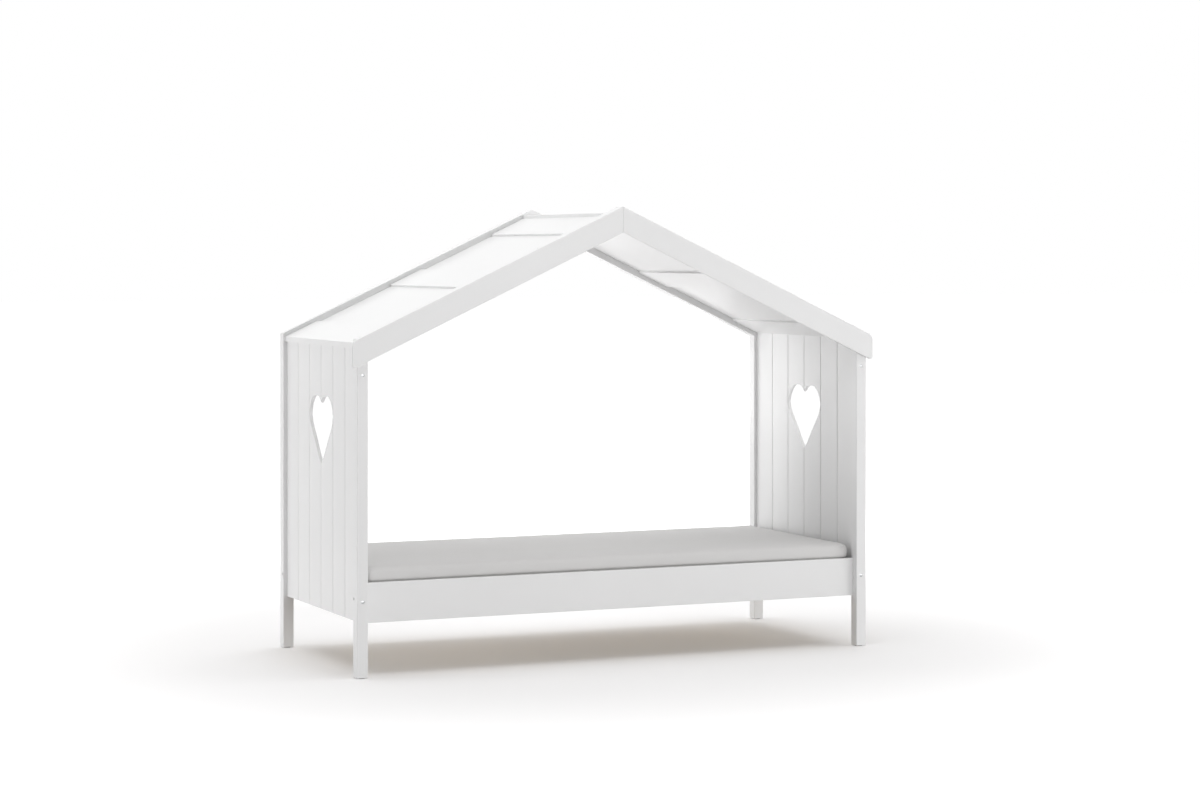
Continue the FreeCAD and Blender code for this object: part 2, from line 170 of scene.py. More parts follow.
def bevel_edges(obj, test, offset, segments):
    """Bevels the edges whose two ends pass a test."""
    clear_selection("EDGE")
    points = obj.data.vertices
    for edge in obj.data.edges:
        a, b = (points[i].co for i in edge.vertices)
        edge.select = test(a, b)
    bpy.ops.object.mode_set(mode="EDIT")
    bpy.ops.mesh.bevel(offset=offset, segments=segments)
    bpy.ops.object.mode_set(mode="OBJECT")

# %% [markdown]
# ## White lacquer
#
# The frame is planed softwood under a sprayed satin lacquer. Lacquer is a smooth skin, so the eye
# gets three things from it: an even, slightly warm white, a soft highlight along each rounded
# arris, and, close up, a fine orange peel with a trace of the wood's grain, which swells a little
# under the paint. An image of paint would stretch and repeat, so the pattern is made of noise on
# the object's own coordinates. Grain runs along a piece, so the noise is stretched that way.

# %% Lacquered wood
PEEL = 0.004              # orange peel is about 1 mm across, drawn four times as coarse to show
GRAIN_ACROSS = 0.005      # a softwood's rings on a planed face
GRAIN_ALONG = 0.22
PATCH = 0.35              # how far the white and the gloss drift over


def lacquer(name, white, turn=None):
    """Satin lacquer between two whites. turn turns the grain's X axis, and None is smooth board."""
    material, tree = empty_material(name)
    place = add(tree, "ShaderNodeTexCoord").outputs["Object"]
    patches = add(tree, "ShaderNodeTexNoise", inputs={"Vector": place, "Scale": 1 / PATCH,
                                                      "Detail": 2.0})
    tint = add(tree, "ShaderNodeMix", {"data_type": "RGBA"},
               {"Factor": patches.outputs["Fac"], MIX_A: linear(white[0]), MIX_B: linear(white[1])})
    peel = add(tree, "ShaderNodeTexNoise", inputs={"Vector": place, "Scale": 1 / PEEL,
                                                   "Detail": 1.0})
    rough = add(tree, "ShaderNodeMapRange", inputs={"Value": patches.outputs["Fac"],
                                                    "To Min": 0.34, "To Max": 0.42})
    bump = add(tree, "ShaderNodeBump", inputs={"Height": peel.outputs["Fac"], "Strength": 0.06,
                                               "Distance": 0.0004})
    if turn is not None:
        along = add(tree, "ShaderNodeMapping", {"vector_type": "TEXTURE"},
                    {"Vector": place, "Rotation": turn,
                     "Scale": (GRAIN_ALONG, GRAIN_ACROSS, GRAIN_ACROSS)})
        grain = add(tree, "ShaderNodeTexNoise", inputs={"Vector": along.outputs[0], "Scale": 1.0,
                                                        "Detail": 3.0, "Distortion": 0.2})
        bump = add(tree, "ShaderNodeBump", inputs={"Height": grain.outputs["Fac"],
                                                   "Strength": 0.10, "Distance": 0.0006,
                                                   "Normal": bump.outputs["Normal"]})
    paint = add(tree, "ShaderNodeBsdfPrincipled",
                inputs={"Base Color": tint.outputs[2], "Roughness": rough.outputs["Result"],
                        "IOR": 1.5, "Coat Weight": 0.15, "Coat Roughness": 0.25,
                        "Normal": bump.outputs["Normal"]})
    finish_material(tree, paint)
    return material


WHITE = ("#EFEFEF", "#EBEBEB")
QUARTER = math.pi / 2
ROOF_RISE = 0.47          # the roof's rise over its run
SLOPE = math.atan(ROOF_RISE)
lacquer_upright = lacquer("satin_lacquer_upright_grain", WHITE, (0, -QUARTER, 0))
lacquer_lengthways = lacquer("satin_lacquer_lengthways_grain", WHITE, (0, 0, 0))
lacquer_crossways = lacquer("satin_lacquer_crossways_grain", WHITE, (0, 0, QUARTER))
lacquer_right_slope = lacquer("satin_lacquer_right_slope_grain", WHITE, (0, SLOPE, 0))
lacquer_left_slope = lacquer("satin_lacquer_left_slope_grain", WHITE, (0, -SLOPE, 0))
lacquer_board = lacquer("satin_lacquer_smooth_board", WHITE)

# %% [markdown]
# ## Bare wood
#
# Slats and the ledges under them are planed spruce, left bare: pale straw between darker late-wood
# lines a few millimetres apart. The lines come from a wave bent by noise and stretched along the
# piece, and a second noise moves the tone from slat to slat. The dowels are beech, whose lines are
# closer and whose tone is pinker. How closely a wave's bands stand is its Scale: they are 0.314
# divided by it apart.

# %% Spruce and beech
WAVE = 0.314              # the distance between a wave's bands at Scale 1
STRETCH = 14.0            # how much longer than wide the grain is drawn


def bare_wood(name, early, late, ring, turn, wander):
    """Unfinished planed wood. ring is the distance between late-wood lines, in metres."""
    material, tree = empty_material(name)
    place = add(tree, "ShaderNodeTexCoord").outputs["Object"]
    turned = add(tree, "ShaderNodeMapping", {"vector_type": "TEXTURE"},
                 {"Vector": place, "Rotation": turn, "Scale": (STRETCH, 1.0, 1.0)})
    wave = add(tree, "ShaderNodeTexWave", {"bands_direction": "Y", "wave_profile": "SAW"},
               {"Vector": turned.outputs[0], "Scale": WAVE / ring, "Distortion": wander,
                "Detail": 3.0, "Detail Scale": 1.4})
    board = add(tree, "ShaderNodeTexNoise", inputs={"Vector": place, "Scale": 4.0, "Detail": 1.0})
    wood = add(tree, "ShaderNodeValToRGB", inputs={"Fac": wave.outputs["Fac"]})
    wood.color_ramp.elements[0].color = linear(early)
    wood.color_ramp.elements[0].position = 0.35
    wood.color_ramp.elements[1].color = linear(late)
    tone = add(tree, "ShaderNodeMapRange", inputs={"Value": board.outputs["Fac"], "To Min": 0.88,
                                                   "To Max": 1.08})
    colour = add(tree, "ShaderNodeHueSaturation", inputs={"Color": wood.outputs["Color"],
                                                          "Value": tone.outputs["Result"]})
    bump = add(tree, "ShaderNodeBump", inputs={"Height": wave.outputs["Fac"], "Strength": 0.15,
                                               "Distance": 0.0004})
    finish_material(tree, add(tree, "ShaderNodeBsdfPrincipled",
                              inputs={"Base Color": colour.outputs["Color"], "Roughness": 0.62,
                                      "Normal": bump.outputs["Normal"]}))
    return material


spruce_slats = bare_wood("planed_spruce_slats", "#E3CDA4", "#C9A873", 0.006, (0, 0, QUARTER), 5.0)
spruce_ledges = bare_wood("planed_spruce_ledges", "#E0C99F", "#C6A46E", 0.006, (0, 0, 0), 4.0)
beech = bare_wood("turned_beech", "#D2AC7F", "#B98B5E", 0.003, (0, 0, 0), 2.0)

# %% [markdown]
# ## Steel, plastic and webbing
#
# Furniture screws are zinc plated: a bright, slightly blue grey with the soft, uneven gloss of a
# tumbled part. The glides are moulded polyethylene, a dull mid grey. The webbing that spaces the
# slats is a plain weave of polyester, where each thread goes over one and under one, which a
# product of two waves gives.

# %% Zinc plate
zinc_plate, tree = empty_material("bright_zinc_plate")
place = add(tree, "ShaderNodeTexCoord").outputs["Object"]
tumble = add(tree, "ShaderNodeTexNoise", inputs={"Vector": place, "Scale": 900.0, "Detail": 2.0})
rough = add(tree, "ShaderNodeMapRange", inputs={"Value": tumble.outputs["Fac"], "To Min": 0.24,
                                                "To Max": 0.40})
bump = add(tree, "ShaderNodeBump", inputs={"Height": tumble.outputs["Fac"], "Strength": 0.08,
                                           "Distance": 0.0002})
finish_material(tree, add(tree, "ShaderNodeBsdfPrincipled",
                          inputs={"Base Color": linear("#C9CBCC"), "Metallic": 1.0,
                                  "Roughness": rough.outputs["Result"],
                                  "Normal": bump.outputs["Normal"]}))

# %% Glide plastic
glide_plastic, tree = empty_material("moulded_polyethylene")
place = add(tree, "ShaderNodeTexCoord").outputs["Object"]
grit = add(tree, "ShaderNodeTexNoise", inputs={"Vector": place, "Scale": 700.0, "Detail": 2.0})
bump = add(tree, "ShaderNodeBump", inputs={"Height": grit.outputs["Fac"], "Strength": 0.15,
                                           "Distance": 0.0002})
finish_material(tree, add(tree, "ShaderNodeBsdfPrincipled",
                          inputs={"Base Color": linear("#8F8C89"), "Roughness": 0.55, "IOR": 1.51,
                                  "Normal": bump.outputs["Normal"]}))

# %% Webbing
THREAD = 0.0016           # from one thread of the tape to the next
tape_weave, tree = empty_material("woven_polyester_webbing")
place = add(tree, "ShaderNodeTexCoord").outputs["Object"]
warp = add(tree, "ShaderNodeTexWave", {"bands_direction": "X"},
           {"Vector": place, "Scale": WAVE / THREAD})
weft = add(tree, "ShaderNodeTexWave", {"bands_direction": "Y"},
           {"Vector": place, "Scale": WAVE / THREAD})
weave = add(tree, "ShaderNodeMath", {"operation": "MULTIPLY"},
            {0: warp.outputs["Fac"], 1: weft.outputs["Fac"]})
shade = add(tree, "ShaderNodeValToRGB", inputs={"Fac": weave.outputs[0]})
shade.color_ramp.elements[0].color = linear("#BDBBB4")
shade.color_ramp.elements[1].color = linear("#E4E2DC")
bump = add(tree, "ShaderNodeBump", inputs={"Height": weave.outputs[0], "Strength": 0.5,
                                           "Distance": 0.0004})
finish_material(tree, add(tree, "ShaderNodeBsdfPrincipled",
                          inputs={"Base Color": shade.outputs["Color"], "Roughness": 0.85,
                                  "Normal": bump.outputs["Normal"]}))

# %% [markdown]
# ## Jersey and ticking
#
# The fitted sheet is cotton jersey in a pale grey. Jersey is knitted: columns of small loops about
# a millimetre apart run down the sheet, and it stretches smooth, so the cloth reads as matt with a
# soft bloom at grazing angles. Sheen on the shader gives the bloom. The knit is drawn three times
# as coarse, as waves along each axis, because each face of the sheet shows two of them. The
# mattress under it is covered in white ticking, a firm twill whose fine ribs run on the diagonal.

# %% Jersey
KNIT = 0.003              # loops are about 1 mm apart, drawn three times as coarse
jersey, tree = empty_material("cotton_jersey_pale_grey")
place = add(tree, "ShaderNodeTexCoord").outputs["Object"]
heights = []
for axis in ("X", "Y", "Z"):
    heights.append(add(tree, "ShaderNodeTexWave", {"bands_direction": axis},
                       {"Vector": place, "Scale": WAVE / KNIT, "Distortion": 0.4}).outputs["Fac"])
pair = add(tree, "ShaderNodeMath", {"operation": "ADD"}, {0: heights[0], 1: heights[1]})
loops = add(tree, "ShaderNodeMath", {"operation": "ADD"}, {0: pair.outputs[0], 1: heights[2]})
drift = add(tree, "ShaderNodeTexNoise", inputs={"Vector": place, "Scale": 2.5, "Detail": 3.0})
dye = add(tree, "ShaderNodeMix", {"data_type": "RGBA"},
          {"Factor": drift.outputs["Fac"], MIX_A: linear("#E0DFDE"), MIX_B: linear("#D9D8D7")})
bump = add(tree, "ShaderNodeBump", inputs={"Height": loops.outputs[0], "Strength": 0.18,
                                           "Distance": 0.0004})
finish_material(tree, add(tree, "ShaderNodeBsdfPrincipled",
                          inputs={"Base Color": dye.outputs[2], "Roughness": 0.9,
                                  "Sheen Weight": 0.12, "Sheen Roughness": 0.5,
                                  "Normal": bump.outputs["Normal"]}))

# %% Ticking
RIB = 0.003               # twill ribs are about 1 mm apart, drawn three times as coarse
ticking, tree = empty_material("cotton_twill_ticking")
place = add(tree, "ShaderNodeTexCoord").outputs["Object"]
ribs = add(tree, "ShaderNodeTexWave", {"bands_direction": "DIAGONAL"},
           {"Vector": place, "Scale": WAVE / RIB, "Distortion": 0.2})
shade = add(tree, "ShaderNodeValToRGB", inputs={"Fac": ribs.outputs["Fac"]})
shade.color_ramp.elements[0].color = linear("#DEDCD8")
shade.color_ramp.elements[1].color = linear("#F0EFEC")
bump = add(tree, "ShaderNodeBump", inputs={"Height": ribs.outputs["Fac"], "Strength": 0.4,
                                           "Distance": 0.0004})
finish_material(tree, add(tree, "ShaderNodeBsdfPrincipled",
                          inputs={"Base Color": shade.outputs["Color"], "Roughness": 0.88,
                                  "Normal": bump.outputs["Normal"]}))

# %% [markdown]
# ## Finishes on the frame
#
# Each CAD node gets the lacquer whose grain runs along it: upright in the posts, lengthways in the
# side rails, front to back in the roof rails and the slats, and down the slope in the gables. The
# material goes into each of the node's slots.

# %% Dress the frame
CORNERS = ("front_left", "front_right", "rear_left", "rear_right")
SIDES = ("left", "right")
ENDS = ("front", "rear")
SLATS = 14

finishes = {}
for corner in CORNERS:
    slope = lacquer_right_slope if corner.endswith("right") else lacquer_left_slope
    finishes["post_" + corner] = lacquer_upright
    finishes["gable_bearer_" + corner] = slope
    finishes["gable_cap_" + corner] = slope
for side in SIDES:
    finishes["fascia_" + side] = lacquer_right_slope if side == "right" else lacquer_left_slope
    finishes["end_panel_" + side] = lacquer_board
    for part in ("eave", "mid", "ridge"):
        finishes["roof_rail_" + part + "_" + side] = lacquer_crossways
    for part in ("lower", "upper"):
        finishes["roof_infill_" + part + "_" + side] = lacquer_board
for end in ENDS:
    finishes["side_rail_" + end] = lacquer_lengthways
    finishes["slat_ledge_" + end] = spruce_ledges
    finishes["slat_tape_" + end] = tape_weave
finishes["ridge_beam"] = lacquer_crossways
for i in range(SLATS):
    finishes["slat_%02d" % (i + 1)] = spruce_slats
finishes["rail_dowels"] = beech
finishes["barrel_nuts"] = zinc_plate
finishes["foot_glides"] = glide_plastic
finishes["mattress"] = ticking

for node, material in finishes.items():
    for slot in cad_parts[node].material_slots:
        slot.material = material
print(len(finishes), "nodes dressed")

# %% [markdown]
# ## Screws and bolts
#
# The heads that show are small, but they are what tells how the bed goes together. The panel screws
# and rail bolts have cylinder heads with a hexagon socket, set just below the post's face. The
# screws in the caps, the gable boards and the ledges have flat heads with a cross recess. Each kind
# is made once, standing on its tip with its head up: a cylinder for the head, whose underside is
# inset and drawn down for the shank, and whose rim is rounded. Then it is copied to its places and
# the copies are joined.

# %% One screw of each kind
CLOSE = 1e-5              # two heights nearer than this are the same


def turned_head(name, head_r, head_t, shank_r, length, rim):
    """A cylinder head with a shank, its top face at z = 0."""
    bpy.ops.object.select_all(action="DESELECT")
    bpy.ops.mesh.primitive_cylinder_add(vertices=32, radius=head_r, depth=head_t,
                                        location=(0, 0, -head_t / 2))
    screw = bpy.context.object
    screw.name = name
    bpy.ops.object.transform_apply(location=True, rotation=True, scale=True)
    select_faces(screw, lambda face: face.normal.z < -0.9)
    bpy.ops.mesh.inset(thickness=head_r - shank_r)
    bpy.ops.mesh.extrude_region_move(
        TRANSFORM_OT_translate={"value": (0, 0, -(length - head_t))})
    bpy.ops.object.mode_set(mode="OBJECT")
    bevel_edges(screw, lambda a, b: abs(a.z) < CLOSE and abs(b.z) < CLOSE, rim, 2)
    return screw


def cut_recess(screw, cutters):
    """Takes shapes out of a screw's head, one after another."""
    for cutter in cutters:
        only(screw)
        cut = screw.modifiers.new("recess", "BOOLEAN")
        cut.operation, cut.solver, cut.object = "DIFFERENCE", "EXACT", cutter
        bpy.ops.object.modifier_apply(modifier=cut.name)
        bpy.data.objects.remove(cutter)


def hexagon(across_flats, depth):
    """A cutter for a hexagon socket, whose corners stand at radius across_flats / sqrt(3)."""
    bpy.ops.object.select_all(action="DESELECT")
    bpy.ops.mesh.primitive_cylinder_add(vertices=6, radius=across_flats / math.sqrt(3),
                                        depth=2 * depth, location=(0, 0, 0))
    return bpy.context.object


def blade(width, thickness, depth, turn):
    """A cutter for one arm of a cross recess."""
    bpy.ops.object.select_all(action="DESELECT")
    bpy.ops.mesh.primitive_cube_add(size=1, location=(0, 0, 0), rotation=(0, 0, turn))
    bpy.context.object.scale = (width, thickness, 2 * depth)
    return bpy.context.object


socket_head = turned_head("socket_head", head_r=0.0060, head_t=0.0040, shank_r=0.0029,
                          length=0.090, rim=0.0005)
cut_recess(socket_head, [hexagon(across_flats=0.005, depth=0.0026)])
cross_head = turned_head("cross_head", head_r=0.00385, head_t=0.0025, shank_r=0.0017,
                         length=0.040, rim=0.0002)
cut_recess(cross_head, [blade(width=0.0042, thickness=0.0009, depth=0.0014,
                              turn=math.radians(degrees)) for degrees in (30, 120)])
print("screws of", len(socket_head.data.polygons), "and", len(cross_head.data.polygons), "faces")

# %% [markdown]
# A screw stands on a face of the frame. The faces come from the boxes of two posts, and the
# distances along them are the CAD model's. Each place is a point with the way that the head looks.
# The bed is the same to the left and the right, so both sides come from one list.

# %% Where the screws go
front_post, rear_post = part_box("post_front_right"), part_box("post_rear_right")
Y_FRONT, Y_IN_FRONT = front_post[0][1], front_post[1][1]      # outer and inner faces
Y_BACK, Y_IN_BACK = rear_post[1][1], rear_post[0][1]
X_END = front_post[1][0]
CAP_TOP = cad_high[2]     # the gables' top at the middle of the bed
SINK = 0.0015             # how deep a socket head sits below its face
PANEL_SCREW_X, PANEL_SCREW_Z = 1.028, (0.281, 1.113)
BOLT_IN, BOLT_Z = 0.009, 0.291                # in from a post's inner face, and up
CAP_SCREW_X, CAP_SCREW_IN = (0.337, 0.815, 1.034), 0.0175
BOARD_SCREW_X, BOARD_SCREW_DROP = (0.18, 0.58, 0.98), 0.04752    # below the gables' top
LEDGE_SCREW_STEP, LEDGE_SCREW_Z, LEDGE_WIDTH = 0.398, 0.237, 0.025


def cap_top(x):
    """Height of the gables' top surface above x."""
    return CAP_TOP - ROOF_RISE * abs(x)


panel_places = [((side * PANEL_SCREW_X, face + way * SINK, z), (0, -way, 0))
                for side in (-1, 1) for z in PANEL_SCREW_Z
                for face, way in ((Y_FRONT, 1), (Y_BACK, -1))]
bolt_places = [((side * (X_END - SINK), y, BOLT_Z), (side, 0, 0))
               for side in (-1, 1) for y in (Y_IN_FRONT - BOLT_IN, Y_IN_BACK + BOLT_IN)]
cap_places = [((side * x, y, cap_top(x)), (side * math.sin(SLOPE), 0, math.cos(SLOPE)))
              for side in (-1, 1) for x in CAP_SCREW_X
              for y in (Y_FRONT + CAP_SCREW_IN, Y_BACK - CAP_SCREW_IN)]
board_places = [((side * x, Y_IN_FRONT, cap_top(x) - BOARD_SCREW_DROP), (0, 1, 0))
                for side in (-1, 1) for x in BOARD_SCREW_X]
ledge_places = [((LEDGE_SCREW_STEP * i, y, LEDGE_SCREW_Z), (0, way, 0))
                for i in (-2, -1, 0, 1, 2)
                for y, way in ((Y_IN_FRONT + LEDGE_WIDTH, 1), (Y_IN_BACK - LEDGE_WIDTH, -1))]


def copy_to(original, places, name, node):
    """Copies a screw to its places, joins the copies and puts them in place of a CAD node."""
    copies = []
    for point, outward in places:
        copy = original.copy()
        copy.data = original.data.copy()
        bpy.context.collection.objects.link(copy)
        turn = Vector(outward).to_track_quat("Z", "Y").to_matrix().to_4x4()
        copy.matrix_world = Matrix.Translation(point) @ turn
        copies.append(copy)
    only(copies[0])
    for copy in copies:
        copy.select_set(True)
    bpy.ops.object.join()
    joined = bpy.context.object
    joined.name = name
    bpy.ops.object.transform_apply(location=True, rotation=True, scale=True)
    bpy.ops.object.shade_smooth_by_angle(angle=math.radians(35))
    joined.data.materials.clear()
    joined.data.materials.append(zinc_plate)
    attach(joined, "frame")
    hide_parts(node)
    low, high = (Vector(corner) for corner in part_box(node))
    print(name, len(places), "screws, CAD node from", [round(v, 3) for v in low], "to",
          [round(v, 3) for v in high])


copy_to(socket_head, panel_places, "socket_screws_in_panels", "panel_screws")
copy_to(socket_head, bolt_places, "socket_bolts_in_rails", "rail_bolts")
copy_to(cross_head, cap_places, "cross_screws_in_caps", "cap_screws")
copy_to(cross_head, board_places, "cross_screws_in_gable_boards", "fascia_screws")
copy_to(cross_head, ledge_places, "cross_screws_in_ledges", "ledge_screws")
for pattern in (socket_head, cross_head):
    bpy.data.objects.remove(pattern)

# %% [markdown]
# ## Mattress
#
# A foam mattress is a block, but never a sharp one: the cover pulls its edges round, the sides draw
# in a little between the corners and the foam crowns slightly on top. So it starts as a cube with
# its upright edges bevelled wide and its rims bevelled less. A voxel remesh turns that into an even
# net of small squares, which cloth can stretch, and a cloth simulation under a little pressure
# swells it, as foam fills its cover. How far a point may move is capped, so that the edges stay
# straight.

# %% Mattress block
SHEET_GAP = 0.0014        # from the mattress's cover to the sheet's outer face
CORNER_BEVEL, TOP_BEVEL, BOTTOM_BEVEL = 0.028, 0.022, 0.014
mattress_low, mattress_high = (Vector(corner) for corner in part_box("mattress"))
middle = (mattress_low + mattress_high) / 2
size = mattress_high - mattress_low - Vector((1, 1, 1)) * 2 * SHEET_GAP
bpy.ops.object.select_all(action="DESELECT")
bpy.ops.mesh.primitive_cube_add(size=1, location=middle)
mattress = bpy.context.object
mattress.name = "foam_mattress"
mattress.scale = size
bpy.ops.object.transform_apply(location=True, rotation=True, scale=True)

top, bottom = middle.z + size.z / 2, middle.z - size.z / 2
bevel_edges(mattress, lambda a, b: abs(a.z - b.z) > size.z / 2, CORNER_BEVEL, 8)
bevel_edges(mattress, lambda a, b: min(a.z, b.z) > top - CLOSE, TOP_BEVEL, 6)
bevel_edges(mattress, lambda a, b: max(a.z, b.z) < bottom + CLOSE, BOTTOM_BEVEL, 4)
print("mattress block", [round(v, 4) for v in size])

# %% Even net
VOXEL = 0.0095
only(mattress)
remesh = mattress.modifiers.new("even_net", "REMESH")
remesh.mode, remesh.voxel_size = "VOXEL", VOXEL
bpy.ops.object.modifier_apply(modifier=remesh.name)
calm = mattress.modifiers.new("calm", "SMOOTH")
calm.factor, calm.iterations = 0.5, 4
bpy.ops.object.modifier_apply(modifier=calm.name)
print("net of", len(mattress.data.vertices), "points")

# %% Draw the sides in
def read_points(obj):
    """An object's points as an array."""
    points = np.empty(len(obj.data.vertices) * 3)
    obj.data.vertices.foreach_get("co", points)
    return points.reshape(-1, 3)


def write_points(obj, points):
    """Puts an array back as an object's points."""
    obj.data.vertices.foreach_set("co", np.ascontiguousarray(points).ravel())
    obj.data.update()


WAIST = 0.0045            # how far a long side draws in at its middle
half = size / 2
points = read_points(mattress)
across = (points - np.array(middle)) / np.array(half)
draw = np.clip(1 - across ** 2, 0, 1)
points[:, 1] -= np.sign(across[:, 1]) * WAIST * draw[:, 0] * np.abs(across[:, 1]) ** 6
points[:, 0] -= np.sign(across[:, 0]) * WAIST * 0.5 * draw[:, 1] * np.abs(across[:, 0]) ** 12
write_points(mattress, points)

# %% Swell it under its cover
CAP = 0.004               # how far a point may move
PRESSURE, SWELL_FRAMES = 4.0, 20
GRIP = 0.004              # the underside is held this far up


def swell(obj, pressure, frames, cap):
    """Blows a closed mesh up a little with cloth, and holds its underside flat."""
    before = read_points(obj)
    only(obj)
    grip = obj.vertex_groups.new(name="lies_on_slats")
    low = before[:, 2].min() + GRIP
    grip.add([int(i) for i in np.nonzero(before[:, 2] < low)[0]], 1.0, "REPLACE")
    cloth = obj.modifiers.new("cover", "CLOTH")
    cloth.settings.quality = 4
    cloth.settings.mass = 0.3
    cloth.settings.tension_stiffness = 40
    cloth.settings.bending_stiffness = 2
    cloth.settings.vertex_group_mass = grip.name
    cloth.settings.use_pressure = True
    cloth.settings.uniform_pressure_force = pressure
    cloth.settings.effector_weights.gravity = 0
    cloth.point_cache.frame_start, cloth.point_cache.frame_end = 1, frames
    for i in range(1, frames + 1):
        bpy.context.scene.frame_set(i)
    bpy.ops.object.modifier_apply(modifier=cloth.name)
    bpy.context.scene.frame_set(1)
    after = read_points(obj)
    move = after - before
    far = np.linalg.norm(move, axis=1)
    move *= (np.minimum(far, cap) / np.maximum(far, 1e-9))[:, None]
    write_points(obj, before + move)
    obj.vertex_groups.clear()
    print("swollen by %.1f mm at most, %.1f mm before the cap" % (1000 * min(far.max(), cap),
                                                                  1000 * far.max()))


swell(mattress, PRESSURE, SWELL_FRAMES, CAP)

# %% [markdown]
# Foam gives a low crown that cloth alone can't: the middle of the top stands a few millimetres
# above its rims. It is added as a smooth cushion-shaped lift, which fades out at the edges and
# leaves the sides alone. Then the whole form is fitted back into the size the mattress is sold in.

# %% Crown and final size
CROWN = 0.003
points = read_points(mattress)
across = (points - np.array(middle)) / np.array(half)
lift = np.clip(1 - across[:, 0] ** 4, 0, 1) * np.clip(1 - across[:, 1] ** 2, 0, 1)
points[:, 2] += CROWN * lift * np.clip(across[:, 2], 0, 1)
low, high = points.min(axis=0), points.max(axis=0)
wanted = np.array([mattress_low, mattress_high]) + SHEET_GAP * np.array([[1, 1, 1], [-1, -1, -1]])
points = (points - low) / (high - low) * (wanted[1] - wanted[0]) + wanted[0]
write_points(mattress, points)

# %% [markdown]
# The side rails hold the mattress in, and above them it swells out again. That leaves a sharp fold
# along the top of each rail, which reads as a thin dark line. The net is far too coarse for it, so
# level cuts go round the mattress first, a few millimetres apart, and the sides are then drawn in
# below the fold. The pull fades out towards the middle, which stays flat.

# %% Fold over the rails
RAIL_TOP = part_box("side_rail_front")[1][2]
FOLD = ((-0.010, 0.0070), (0.0010, 0.0070), (0.0030, 0.0052), (0.0050, 0.0026), (0.0070, 0.0011),
        (0.0105, 0.0003), (0.0150, 0.0))      # (above the rail's top, drawn in)
PULL_FROM, PULL_FADE = 0.9, 0.08              # as shares of the way from the middle to a side
only(mattress)
bpy.ops.object.mode_set(mode="EDIT")
for above, _ in FOLD:
    bpy.ops.mesh.select_all(action="SELECT")
    bpy.ops.mesh.bisect(plane_co=(0, 0, RAIL_TOP + above), plane_no=(0, 0, 1))
bpy.ops.object.mode_set(mode="OBJECT")
points = read_points(mattress)
inset = np.interp(points[:, 2] - RAIL_TOP, *zip(*FOLD))
for axis in (0, 1):
    across = (points[:, axis] - middle[axis]) / (wanted[1][axis] - middle[axis])
    share = np.clip((np.abs(across) - PULL_FROM) / PULL_FADE, 0, 1)
    points[:, axis] -= np.sign(across) * inset * share
write_points(mattress, points)
only(mattress)
bpy.ops.object.shade_smooth()
mattress.data.materials.clear()
mattress.data.materials.append(ticking)
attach(mattress, "mattress")
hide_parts("mattress")
print("mattress from", [round(v, 4) for v in points.min(axis=0)], "to",
      [round(v, 4) for v in points.max(axis=0)])

# %% [markdown]
# ## Fitted sheet
#
# A fitted sheet is one piece of jersey with its four corners cut out and sewn up, and elastic run
# through its hem, which grips the mattress from below. It takes the mattress's shape, so it is made
# from the mattress: a copy, less the middle of the underside, lifted off by the thickness of the
# cloth. At the corners the elastic gathers the cloth into small upright folds, deepest at the hem
# and gone a little over halfway up.

# %% Fitted sheet
HEM = 0.09                # how far the sheet reaches under the mattress
UNDERSIDE = 0.01          # faces lower than this belong to the underside
sheet = mattress.copy()
sheet.data = mattress.data.copy()
sheet.name = "fitted_sheet"
bpy.context.collection.objects.link(sheet)
only(sheet)


def inside_hem(face):
    """Is a face part of the underside that the sheet leaves bare?"""
    c = face.center
    return (c.z < mattress_low.z + UNDERSIDE
            and mattress_low.x + HEM < c.x < mattress_high.x - HEM
            and mattress_low.y + HEM < c.y < mattress_high.y - HEM)


select_faces(sheet, inside_hem)
bpy.ops.mesh.delete(type="FACE")
bpy.ops.object.mode_set(mode="OBJECT")
print("sheet of", len(sheet.data.polygons), "faces")

# %% Gathers at the corners
CORNER = 0.034            # radius that the folds stand on
FOLD_PITCH, FOLD_DEPTH = 0.022, 0.0008
GATHER_REACH = 0.07       # how far past a corner the folds die out
GATHER_TOP = 0.6          # the folds end at this share of the height
CLOTH = 0.0007            # thickness of the jersey
SHEET_LIFT = 0.55 * SHEET_GAP     # from the mattress's cover to the sheet's inner face
points = read_points(sheet)
normals = np.array([v.normal[:] for v in sheet.data.vertices])
near = np.zeros(len(points))
turn = np.zeros(len(points))
for sx in (-1, 1):
    for sy in (-1, 1):
        corner = np.array([middle.x + sx * (half.x - CORNER), middle.y + sy * (half.y - CORNER)])
        away = points[:, :2] - corner
        reach = np.linalg.norm(away, axis=1)
        weight = np.exp(-((np.maximum(reach - CORNER, 0)) / GATHER_REACH) ** 2)
        angle = np.arctan2(away[:, 1], away[:, 0])
        closer = weight > near
        turn = np.where(closer, np.cos(angle * 2 * math.pi * CORNER / FOLD_PITCH), turn)
        near = np.maximum(near, weight)
height = (points[:, 2] - mattress_low.z) / (mattress_high.z - mattress_low.z)
fade = np.clip(1 - height / GATHER_TOP, 0, 1) ** 1.5
off = SHEET_LIFT + FOLD_DEPTH / 2 * near * fade * turn
points += normals * off[:, None]
write_points(sheet, points)
cloth_wall = sheet.modifiers.new("cloth_wall", "SOLIDIFY")
cloth_wall.thickness, cloth_wall.offset = CLOTH, 1.0
only(sheet)
bpy.ops.object.modifier_apply(modifier=cloth_wall.name)
bpy.ops.object.shade_smooth()
sheet.data.materials.clear()
sheet.data.materials.append(jersey)
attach(sheet, "mattress")
